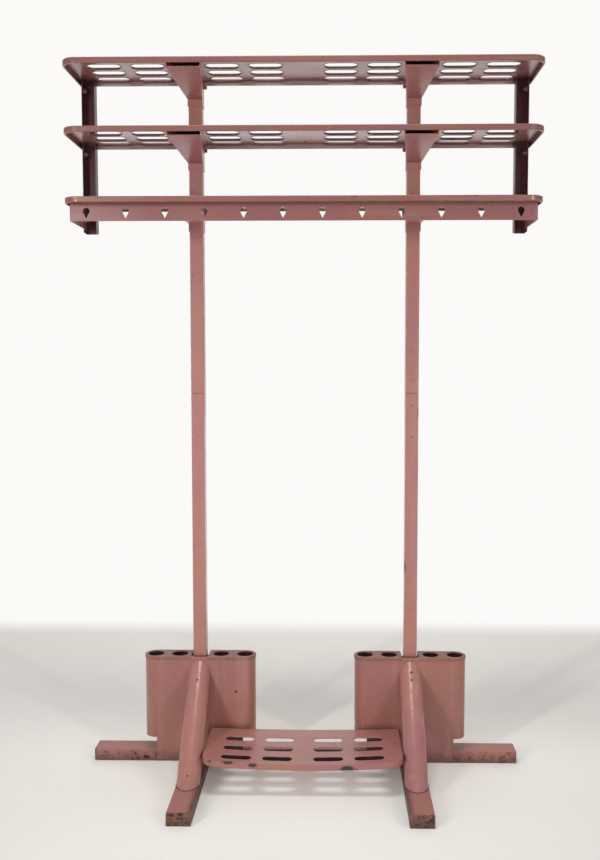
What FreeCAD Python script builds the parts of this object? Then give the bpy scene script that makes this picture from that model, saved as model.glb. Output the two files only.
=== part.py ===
"""Cloakroom stand: two posts on a floor frame, three slotted hat shelves, a hook rail,
two umbrella holders and a boot rack.  All lengths are millimetres.

Frame: +Z up, +X to the right when facing the stand, the user stands at -Y.
Origin: on the floor, midway between the two posts, in the plane of the post centres.
"""
import FreeCAD
import Part
import math
import os
from FreeCAD import Vector

# ---------------------------------------------------------------- driving dimensions
SHEET = 2.0                 # thickness of the pressed and folded sheet parts
BEND = 2.5                  # outside radius where that sheet is folded
CLEARANCE = 0.6             # gap round a part that passes through a notch
SIDES = (-1, 1)             # left, right

# posts
POST_X = 300.0              # post centre from the middle of the stand
POST_SIZE = 36.7            # square tube
POST_WALL = 2.0
POST_CORNER = 2.5
POST_TOP = 1921.0
POST_JOINT = 1052.7         # height where the upper post stands on the lower one
SPIGOT_LENGTH = 300.0
SPIGOT_GAP = 0.1            # slack all round inside the post
JOINT_GAP = 1.2             # open seam between the two post lengths
SPIGOT_RIVET_DROPS = (34.0, 122.0)      # below the joint, in the lower post
CAP_HEIGHT = 3.0
CAP_PLUG = 12.0

# floor frame: one long beam and two forward feet of the same rectangular tube
TUBE_WIDTH = 61.5
TUBE_HEIGHT = 33.7
TUBE_WALL = 3.0
TUBE_CORNER = 2.0
BEAM_HALF = 602.3
FOOT_FRONT = -411.65
END_PLATE = 3.0

# hat shelves: three copies of one pressing
SHELF_TOPS = (1567.3, 1745.9, 1918.4)
SHELF_NAMES = ("lower", "middle", "upper")
SHELF_HALF = 624.0
SHELF_FRONT = -194.0
SHELF_REAR = 11.0
SHELF_CORNER = 40.0
LIP = 15.6                  # depth of the turned-down edge
RETURN = 4.5                # width of the inward fold under the lip
SLOT_RADIUS = 15.5
SLOT_LENGTH = 88.0
SLOT_COLUMNS = (99.0, 213.0, 409.7, 524.5)
SLOT_ROWS = (-120.2, -63.7, -7.2)

# flat stop bar along the back of each shelf
BAR_THICK = 3.0
BAR_UP = 4.2                # above the shelf plate
BAR_DOWN = (7.3, 14.5, 14.5)    # below the shelf plate

# folded trough brackets between shelf and post
BRACKET_FRONT = (-146.0, -185.0, -185.0)
BRACKET_REAR = 16.0
BRACKET_WIDE_Y = -185.0     # where the trough reaches its full width
MOUTH_OUT = 51.0            # from the post centre to the outer wall at the wide end
MOUTH_IN = 38.0             # and to the inner wall
BRACKET_LIP = 24.0          # depth of the wide end below the shelf top
BRACKET_DEPTH = (47.0, 60.0, 60.0)
COLLAR_DEPTH = (66.5, 77.5, 77.5)
BRACKET_FLANGE = 8.0
EAR_DEPTH = 23.5
BRACKET_SCREW_RISE = 8.0    # screw height above the lower edge of the collar

# channel straps that tie the ends of the three shelves together
STRAP_OUTER = 613.5
STRAP_INNER = 577.9
STRAP_FRONT = -17.0
STRAP_BOTTOM = 1497.0
STRAP_CORNER = 8.0
STRAP_HEEL = 4.0            # rounding of the two lower corners seen from the front
BOLT_DROP = 33.0            # strap bolts below the shelf top
BOLT_Y = -6.0
CLEAT_RADIUS = 10.0

# hook rail under the lower shelf
RAIL_HALF = 611.5
RAIL_FRONT = -162.0
RAIL_BOTTOM = 1508.0
RAIL_CORNER = 4.0
RAIL_FLANGE = 15.0
RAIL_REAR = 3.0
HOOK_COUNT = 12
HOOK_PITCH = 103.2
HOOK_RADIUS = 8.8
HOOK_CENTRE = 1534.0
HOOK_TIP = 1515.0

# umbrella holders
HOLDER_HALF = 158.0
HOLDER_RADIUS = 32.25       # half depth, and the radius of the round ends
HOLDER_SHEET = 1.5
HOLDER_BOTTOM = 70.0
HOLDER_TOP = 305.0
COVER_RIM = 8.5
COVER_GAP = 24.5            # half width of the gap left for the post
NOTCH_DEPTH = 14.0          # the holder's rear wall is cut down this far behind the post
SEAM = 0.4
BRIDGE_REAR = -21.0
HOLE_RADIUS = 23.5
HOLE_X = (59.0, 128.0)
TONGUE_HALF = 123.4
TONGUE_BOTTOM = 3.0
TONGUE_SCREW_X = 94.0
TONGUE_SCREW_Z = 20.0

# brace tubes, at 45 degrees from the holder down to the foot
BRACE_RADIUS = 31.0
BRACE_WALL = 2.0
BRACE_SUM = 283.2           # height of the axis above the floor in the post plane

# boot rack
RACK_HALF = 266.0
RACK_FRONT = -254.0
RACK_REAR = -33.5
RACK_TOP = 100.0
RACK_CORNER = 35.0
RACK_SAG_REAR = 5.0
RACK_SAG_FRONT = 12.0
RACK_SLOT_LENGTH = 80.0
RACK_SLOT_RADIUS = 13.0
RACK_COLUMNS = (67.7, 177.3)
RACK_ROWS = (-102.0, -161.0, -219.0)
RACK_BOLT_DROP = 8.0

# fasteners
BOLT_RADIUS = 3.0
BOLT_HEAD = (5.0, 3.5)      # radius, height
FLAT_HEAD = (6.5, 1.6)
WASHER = (10.0, 1.6)
NUT = (7.5, 6.5)            # corner radius, height
SCREW_HEAD = (4.0, 2.2)
RIVET_HEAD = (3.0, 1.0)

# ---------------------------------------------------------------- worked out
POST_HALF = POST_SIZE / 2
POST_FOOT = TUBE_HEIGHT
BORE_HALF = POST_HALF - POST_WALL
COLLAR_HALF = POST_HALF + SHEET
BRACE_BOTTOM_Y = TUBE_HEIGHT - BRACE_SUM
PAST = 5.0                  # how far a cutting block runs past the face it opens
UP = Vector(0, 0, 1)


# ---------------------------------------------------------------- building blocks
def block(x_range, y_range, z_range):
    """Upright block between two corners."""
    size = [high - low for low, high in (x_range, y_range, z_range)]
    corner = Vector(x_range[0], y_range[0], z_range[0])
    return Part.makeBox(size[0], size[1], size[2], corner)


def about(centre, half):
    """Range of the given half width about a centre."""
    return (centre - half, centre + half)


def prism(points, direction):
    """Solid swept from a closed outline of corner points."""
    return Part.Face(Part.makePolygon(points + points[:1])).extrude(direction)


def plan_prism(points, z_range):
    """Solid between two heights over an outline given as (x, y)."""
    corners = [Vector(x, y, z_range[0]) for x, y in points]
    return prism(corners, UP * (z_range[1] - z_range[0]))


def side_prism(points, x_range):
    """Solid between two x planes over an outline given as (y, z)."""
    corners = [Vector(x_range[0], y, z) for y, z in points]
    return prism(corners, Vector(x_range[1] - x_range[0], 0, 0))


def tray_plan(half, front, rear, radius, z_range):
    """Block with a square rear edge and two rounded front corners."""
    low = z_range[0]
    mid = radius * (1 - math.sqrt(0.5))
    left_rear = Vector(-half, rear, low)
    left_side = Vector(-half, front + radius, low)
    left_front = Vector(-half + radius, front, low)
    right_front = Vector(half - radius, front, low)
    right_side = Vector(half, front + radius, low)
    right_rear = Vector(half, rear, low)
    edges = [
        Part.makeLine(left_rear, left_side),
        Part.Arc(left_side, Vector(-half + mid, front + mid, low), left_front).toShape(),
        Part.makeLine(left_front, right_front),
        Part.Arc(right_front, Vector(half - mid, front + mid, low), right_side).toShape(),
        Part.makeLine(right_side, right_rear),
        Part.makeLine(right_rear, left_rear),
    ]
    return Part.Face(Part.Wire(edges)).extrude(UP * (z_range[1] - low))


def round_ended(centre, half, radius, z_range):
    """Upright block with full-round ends, long in x."""
    x, y = centre
    low = z_range[0]
    straight = half - radius
    corners = [Vector(x + sx * straight, y + sy * radius, low)
               for sx, sy in ((-1, -1), (1, -1), (1, 1), (-1, 1))]
    edges = [
        Part.makeLine(corners[0], corners[1]),
        Part.Arc(corners[1], Vector(x + half, y, low), corners[2]).toShape(),
        Part.makeLine(corners[2], corners[3]),
        Part.Arc(corners[3], Vector(x - half, y, low), corners[0]).toShape(),
    ]
    return Part.Face(Part.Wire(edges)).extrude(UP * (z_range[1] - low))


def rod(radius, start, end):
    """Cylinder between two points."""
    along = Vector(*end) - Vector(*start)
    return Part.makeCylinder(radius, along.Length, Vector(*start), along)


def hexagon(radius, start, end):
    """Six-sided bar between two points on one x line."""
    points = [Vector(start[0], start[1] + radius * math.cos(math.radians(60 * k)),
                     start[2] + radius * math.sin(math.radians(60 * k))) for k in range(6)]
    return prism(points, Vector(end[0] - start[0], 0, 0))


def round_edges(shape, radius, wanted):
    """Fillet every edge that the test picks."""
    return shape.makeFillet(radius, [edge for edge in shape.Edges if wanted(edge)])


def runs_along(edge, axis):
    """True for a straight edge parallel to the axis."""
    ends = [vertex.Point for vertex in edge.Vertexes]
    if len(ends) < 2 or not isinstance(edge.Curve, Part.Line):
        return False
    span = ends[1] - ends[0]
    return abs(abs(span.dot(axis)) - span.Length) < 1e-6


def square_tube(centre_x, half, wall, corner, z_range):
    """Upright square tube centred on the post plane."""
    outer = block(about(centre_x, half), about(0, half), z_range)
    outer = round_edges(outer, corner, lambda edge: runs_along(edge, UP))
    bore_z = (z_range[0] - PAST, z_range[1] + PAST)
    inner = block(about(centre_x, half - wall), about(0, half - wall), bore_z)
    return outer.cut(inner)


def compound(shapes):
    """Group of separate solids kept in one node."""
    return Part.makeCompound(shapes)


# ---------------------------------------------------------------- floor frame
def floor_tube(x_range, y_range, axis):
    """Rectangular tube lying on the floor along the given axis."""
    outer = block(x_range, y_range, (0, TUBE_HEIGHT))
    outer = round_edges(outer, TUBE_CORNER, lambda edge: runs_along(edge, axis))
    across = Vector(1, 1, 0) - axis
    x_shift = TUBE_WALL * across.x - PAST * axis.x
    y_shift = TUBE_WALL * across.y - PAST * axis.y
    bore_x = (x_range[0] + x_shift, x_range[1] - x_shift)
    bore_y = (y_range[0] + y_shift, y_range[1] - y_shift)
    return outer.cut(block(bore_x, bore_y, (TUBE_WALL, TUBE_HEIGHT - TUBE_WALL)))


def end_plate(x_range, y_range, axis):
    """Plate welded over the open end of a floor tube."""
    plate = block(x_range, y_range, (0, TUBE_HEIGHT))
    return round_edges(plate, TUBE_CORNER, lambda edge: runs_along(edge, axis))


def base_beam():
    half = BEAM_HALF - END_PLATE
    return floor_tube((-half, half), about(0, TUBE_WIDTH / 2), Vector(1, 0, 0))


def beam_end_plates():
    inner = BEAM_HALF - END_PLATE
    depth = about(0, TUBE_WIDTH / 2)
    return compound([end_plate(sorted((side * inner, side * BEAM_HALF)), depth, Vector(1, 0, 0))
                     for side in SIDES])


def foot(side):
    span = (FOOT_FRONT + END_PLATE, -TUBE_WIDTH / 2)
    return floor_tube(about(side * POST_X, TUBE_WIDTH / 2), span, Vector(0, 1, 0))


def foot_end_plates():
    span = (FOOT_FRONT, FOOT_FRONT + END_PLATE)
    return compound([end_plate(about(side * POST_X, TUBE_WIDTH / 2), span, Vector(0, 1, 0))
                     for side in SIDES])


# ---------------------------------------------------------------- posts
def lower_post(side):
    return square_tube(side * POST_X, POST_HALF, POST_WALL, POST_CORNER,
                       (POST_FOOT, POST_JOINT - JOINT_GAP / 2))


def upper_post(side):
    return square_tube(side * POST_X, POST_HALF, POST_WALL, POST_CORNER,
                       (POST_JOINT + JOINT_GAP / 2, POST_TOP))


def spigot(side):
    """Square sleeve inside the joint of the two post lengths."""
    return square_tube(side * POST_X, BORE_HALF - SPIGOT_GAP, POST_WALL, POST_WALL / 2,
                       about(POST_JOINT, SPIGOT_LENGTH / 2))


def spigot_rivets():
    """Rivets that hold each spigot: on the rear of the left post, on the front of the right."""
    heads = []
    for side in SIDES:
        face = -side * POST_HALF
        for drop in SPIGOT_RIVET_DROPS:
            foot = (side * POST_X, face, POST_JOINT - drop)
            tip = (side * POST_X, face - side * RIVET_HEAD[1], POST_JOINT - drop)
            heads.append(rod(RIVET_HEAD[0], foot, tip))
    return compound(heads)


def post_caps():
    caps = []
    for side in SIDES:
        top = block(about(side * POST_X, POST_HALF), about(0, POST_HALF),
                    (POST_TOP, POST_TOP + CAP_HEIGHT))
        top = round_edges(top, POST_CORNER, lambda edge: runs_along(edge, UP))
        plug = block(about(side * POST_X, BORE_HALF), about(0, BORE_HALF),
                     (POST_TOP - CAP_PLUG, POST_TOP))
        caps.append(top.fuse(plug).removeSplitter())
    return compound(caps)


# ---------------------------------------------------------------- hat shelves
def pressed_tray(half, front, rear, corner, top):
    """Shelf pressing: plate, turned-down lip on three sides, and its inward return."""
    bottom = top - LIP
    outer = tray_plan(half, front, rear, corner, (bottom, top))

    def on_fold(edge):
        box = edge.BoundBox
        flat = box.ZLength < 1e-6
        return flat and not (box.YMin > rear - 1e-6 and box.YMax > rear - 1e-6)

    outer = round_edges(outer, BEND, on_fold)
    hollow = tray_plan(half - SHEET, front + SHEET, rear + PAST, corner - SHEET,
                       (bottom + SHEET, top - SHEET))
    mouth = tray_plan(half - RETURN, front + RETURN, rear + PAST, corner - RETURN,
                      (bottom - PAST, top - SHEET))
    return outer.cut(hollow.fuse(mouth))


def slots(columns, rows, length, radius, z_range):
    """All the slots of a plate as one cutting shape."""
    return compound([round_ended((side * x, y), length / 2, radius, z_range)
                     for side in SIDES for x in columns for y in rows])


def shelf(level):
    top = SHELF_TOPS[level]
    through = (top - LIP - PAST, top + PAST)
    tray = pressed_tray(SHELF_HALF, SHELF_FRONT, SHELF_REAR, SHELF_CORNER, top)
    tray = tray.cut(slots(SLOT_COLUMNS, SLOT_ROWS, SLOT_LENGTH, SLOT_RADIUS, through))
    notch_half = POST_HALF + CLEARANCE
    for side in SIDES:
        tray = tray.cut(block(about(side * POST_X, notch_half),
                              (-notch_half, SHELF_REAR + PAST), through))
        mouth = sorted((side * (POST_X - MOUTH_IN), side * (POST_X + MOUTH_OUT)))
        tray = tray.cut(block(mouth, (SHELF_FRONT + SHEET, SHELF_FRONT + RETURN + CLEARANCE),
                              (top - LIP - PAST, top - LIP + SHEET + CLEARANCE)))
        if top < SHELF_TOPS[-1]:
            span = sorted((side * (STRAP_INNER - CLEARANCE), side * (STRAP_OUTER + CLEARANCE)))
            tray = tray.cut(block(span, (STRAP_FRONT - CLEARANCE, SHELF_REAR + PAST), through))
    return tray


def stop_bar(level):
    """Flat bar in three lengths, interrupted at the posts."""
    top = SHELF_TOPS[level]
    depth = (SHELF_REAR, SHELF_REAR + BAR_THICK)
    height = (top - BAR_DOWN[level], top + BAR_UP)
    near = POST_X - COLLAR_HALF
    far = POST_X + COLLAR_HALF
    spans = ((-SHELF_HALF, -far), (-near, near), (far, SHELF_HALF))
    return compound([block(span, depth, height) for span in spans])


# ---------------------------------------------------------------- shelf brackets
def wall_reach(mouth, y, inset):
    """Distance of a trough wall from the post centre at a depth, less an inset."""
    run = (y + COLLAR_HALF) / (BRACKET_WIDE_Y + COLLAR_HALF)
    return COLLAR_HALF + run * (mouth - COLLAR_HALF) - inset


def bracket(side, level):
    """Folded trough under the shelf that closes into a collar round the post."""
    top = SHELF_TOPS[level]
    ceiling = top - SHEET
    front = BRACKET_FRONT[level]
    collar_low = top - COLLAR_DEPTH[level]
    x = side * POST_X
    walls = ((side, MOUTH_OUT), (-side, MOUTH_IN))
    slope = (BRACKET_DEPTH[level] - BRACKET_LIP) / (-COLLAR_HALF - BRACKET_WIDE_Y)

    def floor_height(y):
        return top - BRACKET_LIP - slope * (y - BRACKET_WIDE_Y)

    def plan(inset, start, end, rear):
        half = COLLAR_HALF - inset
        outline = []
        for hand, mouth in walls:
            wall = [(x + hand * wall_reach(mouth, start, inset), start), (x + hand * half, end),
                    (x + hand * half, rear)]
            outline += wall if hand == side else wall[::-1]
        return outline

    outline = plan_prism(plan(0, front, -COLLAR_HALF, BRACKET_REAR), (collar_low - PAST, ceiling))
    profile = [(front, floor_height(front)), (-COLLAR_HALF, floor_height(-COLLAR_HALF)),
               (-COLLAR_HALF, collar_low), (BRACKET_REAR, collar_low),
               (BRACKET_REAR, ceiling), (front, ceiling)]
    reach = about(x, MOUTH_OUT + PAST)
    body = outline.common(side_prism(profile, reach))

    hollow_plan = plan_prism(plan(SHEET, front - PAST, -COLLAR_HALF, -POST_HALF),
                             (collar_low, ceiling + PAST))
    hollow_side = side_prism([(front - PAST, floor_height(front - PAST) + SHEET),
                              (-POST_HALF, floor_height(-POST_HALF) + SHEET),
                              (-POST_HALF, ceiling + PAST), (front - PAST, ceiling + PAST)],
                             reach)
    body = body.cut(hollow_plan.common(hollow_side))
    body = body.cut(block(about(x, POST_HALF), (-POST_HALF, BRACKET_REAR + PAST),
                          (collar_low - PAST, ceiling + PAST)))

    for hand, mouth in walls:
        edge = [(wall_reach(mouth, front, 0), front), (COLLAR_HALF, -COLLAR_HALF),
                (COLLAR_HALF, SHELF_REAR)]
        out = [(half + BRACKET_FLANGE, y) for half, y in reversed(edge)]
        flange = plan_prism([(x + hand * half, y) for half, y in edge + out],
                            (ceiling - SHEET, ceiling))
        ear_x = sorted((x + hand * COLLAR_HALF, x + hand * (COLLAR_HALF + BRACKET_FLANGE)))
        ear = block(ear_x, (SHELF_REAR + BAR_THICK, BRACKET_REAR), (top - EAR_DEPTH, ceiling))
        body = body.fuse(flange).fuse(ear)
    return body.removeSplitter()


def bracket_screws():
    """One screw through the outer wall of each collar into the post."""
    screws = []
    for level, top in enumerate(SHELF_TOPS):
        z = top - COLLAR_DEPTH[level] + BRACKET_SCREW_RISE
        for side in SIDES:
            face = side * (POST_X + COLLAR_HALF)
            head_end = face + side * SCREW_HEAD[1]
            screws.append(rod(SCREW_HEAD[0], (face, 0, z), (head_end, 0, z)))
    return compound(screws)


# ---------------------------------------------------------------- end straps and hook rail
def strap(side):
    """Channel, open to the front, that ties the three shelf ends together."""
    top = SHELF_TOPS[-1] - SHEET
    span = sorted((side * STRAP_INNER, side * STRAP_OUTER))
    outer = block(span, (STRAP_FRONT, SHELF_REAR), (STRAP_BOTTOM, top))

    def heel(edge):
        return edge.BoundBox.ZMax < STRAP_BOTTOM + 1e-6 and runs_along(edge, Vector(0, 1, 0))

    outer = round_edges(outer, STRAP_HEEL, heel)
    inner_span = (span[0] + SHEET, span[1] - SHEET)
    inner = block(inner_span, (STRAP_FRONT - PAST, SHELF_REAR - SHEET),
                  (STRAP_BOTTOM - PAST, top + PAST))
    channel = outer.cut(inner)

    corner = block(span, (STRAP_FRONT - PAST, STRAP_FRONT + STRAP_CORNER),
                   (STRAP_BOTTOM - PAST, STRAP_BOTTOM + STRAP_CORNER))
    centre = (STRAP_FRONT + STRAP_CORNER, STRAP_BOTTOM + STRAP_CORNER)
    corner = corner.cut(rod(STRAP_CORNER, (span[0], *centre), (span[1], *centre)))
    channel = channel.cut(corner)
    for top_z in SHELF_TOPS:
        z = top_z - BOLT_DROP
        channel = channel.cut(rod(BOLT_RADIUS, (side * (STRAP_OUTER - SHEET - PAST), BOLT_Y, z),
                                  (side * (STRAP_OUTER + PAST), BOLT_Y, z)))
    return channel


def shelf_cleats(side):
    """Round-ended tabs under the two upper shelves that the strap bolts to."""
    tabs = []
    inner = side * (STRAP_OUTER - 2 * SHEET)
    outer = side * (STRAP_OUTER - SHEET)
    for top in SHELF_TOPS[1:]:
        z = top - BOLT_DROP
        tab = block(sorted((inner, outer)), about(BOLT_Y, CLEAT_RADIUS), (z, top - SHEET))
        tab = tab.fuse(rod(CLEAT_RADIUS, (inner, BOLT_Y, z), (outer, BOLT_Y, z)))
        tabs.append(tab.removeSplitter().cut(rod(BOLT_RADIUS, (inner - side, BOLT_Y, z),
                                                 (outer + side, BOLT_Y, z))))
    return compound(tabs)


def strap_heights():
    """Heights of the strap's three bolts."""
    return [top - BOLT_DROP for top in SHELF_TOPS]


def strap_bolts(side):
    """Low flat heads outside the channel, shanks pointing in."""
    bolts = []
    face = side * STRAP_OUTER
    tip = side * (STRAP_OUTER - 2 * SHEET - WASHER[1] - NUT[1] - 2)
    for z in strap_heights():
        shank = rod(BOLT_RADIUS, (tip, BOLT_Y, z), (face, BOLT_Y, z))
        head = rod(FLAT_HEAD[0], (face, BOLT_Y, z), (face + side * FLAT_HEAD[1], BOLT_Y, z))
        bolts.append(shank.fuse(head))
    return compound(bolts)


def strap_washers(side):
    """Wide washers inside the channel, against the cleats."""
    seat = side * (STRAP_OUTER - 2 * SHEET)
    face = seat - side * WASHER[1]
    return compound([rod(WASHER[0], (seat, BOLT_Y, z), (face, BOLT_Y, z)).cut(
        rod(BOLT_RADIUS, (seat + side, BOLT_Y, z), (face - side, BOLT_Y, z)))
        for z in strap_heights()])


def strap_nuts(side):
    """Hexagon nuts on the washers."""
    seat = side * (STRAP_OUTER - 2 * SHEET - WASHER[1])
    face = seat - side * NUT[1]
    return compound([hexagon(NUT[0], (seat, BOLT_Y, z), (face, BOLT_Y, z)).cut(
        rod(BOLT_RADIUS, (seat + side, BOLT_Y, z), (face - side, BOLT_Y, z)))
        for z in strap_heights()])


def hook_hole(x):
    """Drop-shaped hole: a round head with a pointed lower end."""
    drop = HOOK_CENTRE - HOOK_TIP
    tangent = math.acos(HOOK_RADIUS / drop)
    touch_x = HOOK_RADIUS * math.sin(tangent)
    touch_z = HOOK_CENTRE - HOOK_RADIUS * math.cos(tangent)
    y = RAIL_FRONT - PAST
    left = Vector(x - touch_x, y, touch_z)
    right = Vector(x + touch_x, y, touch_z)
    tip = Vector(x, y, HOOK_TIP)
    crown = Vector(x, y, HOOK_CENTRE + HOOK_RADIUS)
    edges = [Part.Arc(left, crown, right).toShape(), Part.makeLine(right, tip),
             Part.makeLine(tip, left)]
    return Part.Face(Part.Wire(edges)).extrude(Vector(0, SHEET + 2 * PAST, 0))


def hook_rail():
    """Band folded round the front and both ends, with a flange up against the shelf."""
    top = SHELF_TOPS[0] - SHEET
    rear = RAIL_REAR
    outer = tray_plan(RAIL_HALF, RAIL_FRONT, rear, RAIL_CORNER, (RAIL_BOTTOM, top))
    hollow = tray_plan(RAIL_HALF - SHEET, RAIL_FRONT + SHEET, rear + PAST,
                       RAIL_CORNER - SHEET, (RAIL_BOTTOM - PAST, top - SHEET))
    mouth = block(about(0, RAIL_HALF - RAIL_FLANGE),
                  (RAIL_FRONT + RAIL_FLANGE, rear + PAST), (RAIL_BOTTOM - PAST, top + PAST))
    rail = outer.cut(hollow.fuse(mouth))
    first = -HOOK_PITCH * (HOOK_COUNT - 1) / 2
    rail = rail.cut(compound([hook_hole(first + HOOK_PITCH * k) for k in range(HOOK_COUNT)]))
    z = SHELF_TOPS[0] - BOLT_DROP
    for side in SIDES:
        gap = sorted((side * (STRAP_INNER - CLEARANCE), side * (RAIL_HALF - SHEET)))
        rail = rail.cut(block(gap, (STRAP_FRONT - CLEARANCE, rear + PAST), (top - SHEET, top)))
        rail = rail.cut(rod(BOLT_RADIUS, (side * (RAIL_HALF - SHEET - PAST), BOLT_Y, z),
                            (side * (RAIL_HALF + PAST), BOLT_Y, z)))
        over = sorted((side * (RAIL_HALF - SHEET), side * (RAIL_HALF + CLEARANCE)))
        rail = rail.cut(block(over, (STRAP_FRONT - CLEARANCE, rear + PAST),
                              (top - SHEET, top + PAST)))
    return rail


# ---------------------------------------------------------------- umbrella holders
def holder_shell(side):
    """Open sheet drum with round ends; its front runs down over the beam as a tongue."""
    centre = (side * POST_X, 0)
    rim = HOLDER_TOP - HOLDER_SHEET
    outer = round_ended(centre, HOLDER_HALF, HOLDER_RADIUS, (HOLDER_BOTTOM, rim))
    inner = round_ended(centre, HOLDER_HALF - HOLDER_SHEET, HOLDER_RADIUS - HOLDER_SHEET,
                        (HOLDER_BOTTOM - PAST, rim + PAST))
    tongue = block(about(side * POST_X, TONGUE_HALF),
                   (-HOLDER_RADIUS, HOLDER_SHEET - HOLDER_RADIUS),
                   (TONGUE_BOTTOM, HOLDER_BOTTOM))
    foot_notch = block(about(side * POST_X, TUBE_WIDTH / 2 + CLEARANCE),
                       (-HOLDER_RADIUS - PAST, 0), (0, TUBE_HEIGHT + CLEARANCE))
    rear_notch = block(about(side * POST_X, COVER_GAP), (0, HOLDER_RADIUS + PAST),
                       (HOLDER_TOP - NOTCH_DEPTH, HOLDER_TOP))
    return outer.cut(inner).cut(rear_notch).fuse(tongue.cut(foot_notch)).removeSplitter()


def holder_tray(side):
    """Floor of the holder, with a clearance hole for the post."""
    centre = (side * POST_X, 0)
    top = HOLDER_BOTTOM + HOLDER_SHEET
    plate = round_ended(centre, HOLDER_HALF - HOLDER_SHEET, HOLDER_RADIUS - HOLDER_SHEET,
                        (HOLDER_BOTTOM, top))
    hole = block(about(side * POST_X, POST_HALF), about(0, POST_HALF),
                 (HOLDER_BOTTOM - PAST, top + PAST))
    return plate.cut(hole)


def holder_cover(side, hand):
    """Half lid with a rim and two umbrella holes, on one side of the post."""
    centre = (side * POST_X, 0)
    low = HOLDER_TOP - COVER_RIM
    lid = round_ended(centre, HOLDER_HALF + HOLDER_SHEET, HOLDER_RADIUS + HOLDER_SHEET,
                      (low, HOLDER_TOP))
    lid = round_edges(lid, HOLDER_SHEET, lambda edge: edge.BoundBox.ZMin > HOLDER_TOP - 1e-6)
    lid = lid.cut(round_ended(centre, HOLDER_HALF, HOLDER_RADIUS,
                              (low - PAST, HOLDER_TOP - HOLDER_SHEET)))
    near = side * POST_X + hand * COVER_GAP
    far = side * POST_X + hand * (HOLDER_HALF + PAST)
    lid = lid.common(block(sorted((near, far)), about(0, HOLDER_RADIUS + PAST),
                           (low - PAST, HOLDER_TOP + PAST)))
    for x in HOLE_X:
        place = side * POST_X + hand * x
        lid = lid.cut(rod(HOLE_RADIUS, (place, 0, low), (place, 0, HOLDER_TOP + PAST)))
    return lid


def cover_bridges():
    """Folded strips that carry the covers' rim across the front of each post."""
    face = -HOLDER_RADIUS - HOLDER_SHEET
    bridges = []
    for side in SIDES:
        across = about(side * POST_X, COVER_GAP - SEAM)
        rim = block(across, (face, -HOLDER_RADIUS), (HOLDER_TOP - COVER_RIM, HOLDER_TOP))
        ledge = block(across, (face, BRIDGE_REAR), (HOLDER_TOP - HOLDER_SHEET, HOLDER_TOP))
        bridges.append(rim.fuse(ledge).removeSplitter())
    return compound(bridges)


def tongue_screws():
    """One screw through each tongue into the beam, outboard of the foot."""
    face = -HOLDER_RADIUS
    return compound([rod(SCREW_HEAD[0],
                         (side * (POST_X + TONGUE_SCREW_X), face - SCREW_HEAD[1], TONGUE_SCREW_Z),
                         (side * (POST_X + TONGUE_SCREW_X), face, TONGUE_SCREW_Z))
                     for side in SIDES])


# ---------------------------------------------------------------- braces and boot rack
def rack_bolt_place():
    """(y, z) where the rack bolts cross the brace axis."""
    z = RACK_TOP - RACK_BOLT_DROP
    return (z - BRACE_SUM, z)


def brace(side):
    """Round tube at 45 degrees, cut flush on the holder front and on the foot."""
    reach = 2 * BRACE_RADIUS
    low = (side * POST_X, BRACE_BOTTOM_Y - reach, TUBE_HEIGHT - reach)
    high = (side * POST_X, reach, BRACE_SUM + reach)
    tube = rod(BRACE_RADIUS, low, high).cut(rod(BRACE_RADIUS - BRACE_WALL, low, high))
    keep = block(about(side * POST_X, reach), (BRACE_BOTTOM_Y - reach, -HOLDER_RADIUS),
                 (TUBE_HEIGHT, BRACE_SUM + reach))
    y, z = rack_bolt_place()
    inner = POST_X - BRACE_RADIUS
    hole = rod(BOLT_RADIUS, (side * (inner - PAST), y, z), (side * (inner + PAST), y, z))
    return tube.common(keep).cut(hole)


def sagging_band(half, upper, lower):
    """Layer under the sagging rack top, between two depths below it."""
    wires = []
    for y, sag in ((RACK_REAR + PAST, RACK_SAG_REAR), (RACK_FRONT - PAST, RACK_SAG_FRONT)):
        edge_z = (RACK_TOP - lower, RACK_TOP - upper)
        low = [Vector(-half, y, edge_z[0]), Vector(0, y, edge_z[0] - sag),
               Vector(half, y, edge_z[0])]
        high = [Vector(half, y, edge_z[1]), Vector(0, y, edge_z[1] - sag),
                Vector(-half, y, edge_z[1])]
        wires.append(Part.Wire([Part.Arc(*low).toShape(), Part.makeLine(low[2], high[0]),
                                Part.Arc(*high).toShape(), Part.makeLine(high[2], low[0])]))
    return Part.makeLoft(wires, True, True)


def boot_rack():
    """Slotted tray between the braces; its plate sags towards the front centre."""
    tall = (RACK_TOP - LIP - RACK_SAG_FRONT - PAST, RACK_TOP + PAST)
    wide = RACK_HALF + PAST
    outer = tray_plan(RACK_HALF, RACK_FRONT, RACK_REAR, RACK_CORNER, tall)
    hollow = tray_plan(RACK_HALF - SHEET, RACK_FRONT + SHEET, RACK_REAR + PAST,
                       RACK_CORNER - SHEET, tall)
    mouth = tray_plan(RACK_HALF - RETURN, RACK_FRONT + RETURN, RACK_REAR + PAST,
                      RACK_CORNER - RETURN, tall)
    tray = outer.common(sagging_band(wide, 0, LIP))
    tray = tray.cut(hollow.common(sagging_band(wide, SHEET, LIP - SHEET)))
    tray = tray.cut(mouth.common(sagging_band(wide, SHEET, LIP + PAST)))
    tray = tray.cut(slots(RACK_COLUMNS, RACK_ROWS, RACK_SLOT_LENGTH, RACK_SLOT_RADIUS, tall))
    y, z = rack_bolt_place()
    for side in SIDES:
        tray = tray.cut(rod(BOLT_RADIUS, (side * (RACK_HALF - RETURN), y, z),
                            (side * (RACK_HALF + PAST), y, z)))
    return tray


def rack_spacers():
    """Sleeves that fill the gap between the rack's sides and the brace tubes."""
    y, z = rack_bolt_place()
    sleeves = []
    for side in SIDES:
        start = (side * RACK_HALF, y, z)
        end = (side * (POST_X - BRACE_RADIUS), y, z)
        sleeves.append(rod(2 * BOLT_RADIUS, start, end).cut(rod(BOLT_RADIUS, start, end)))
    return compound(sleeves)


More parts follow.
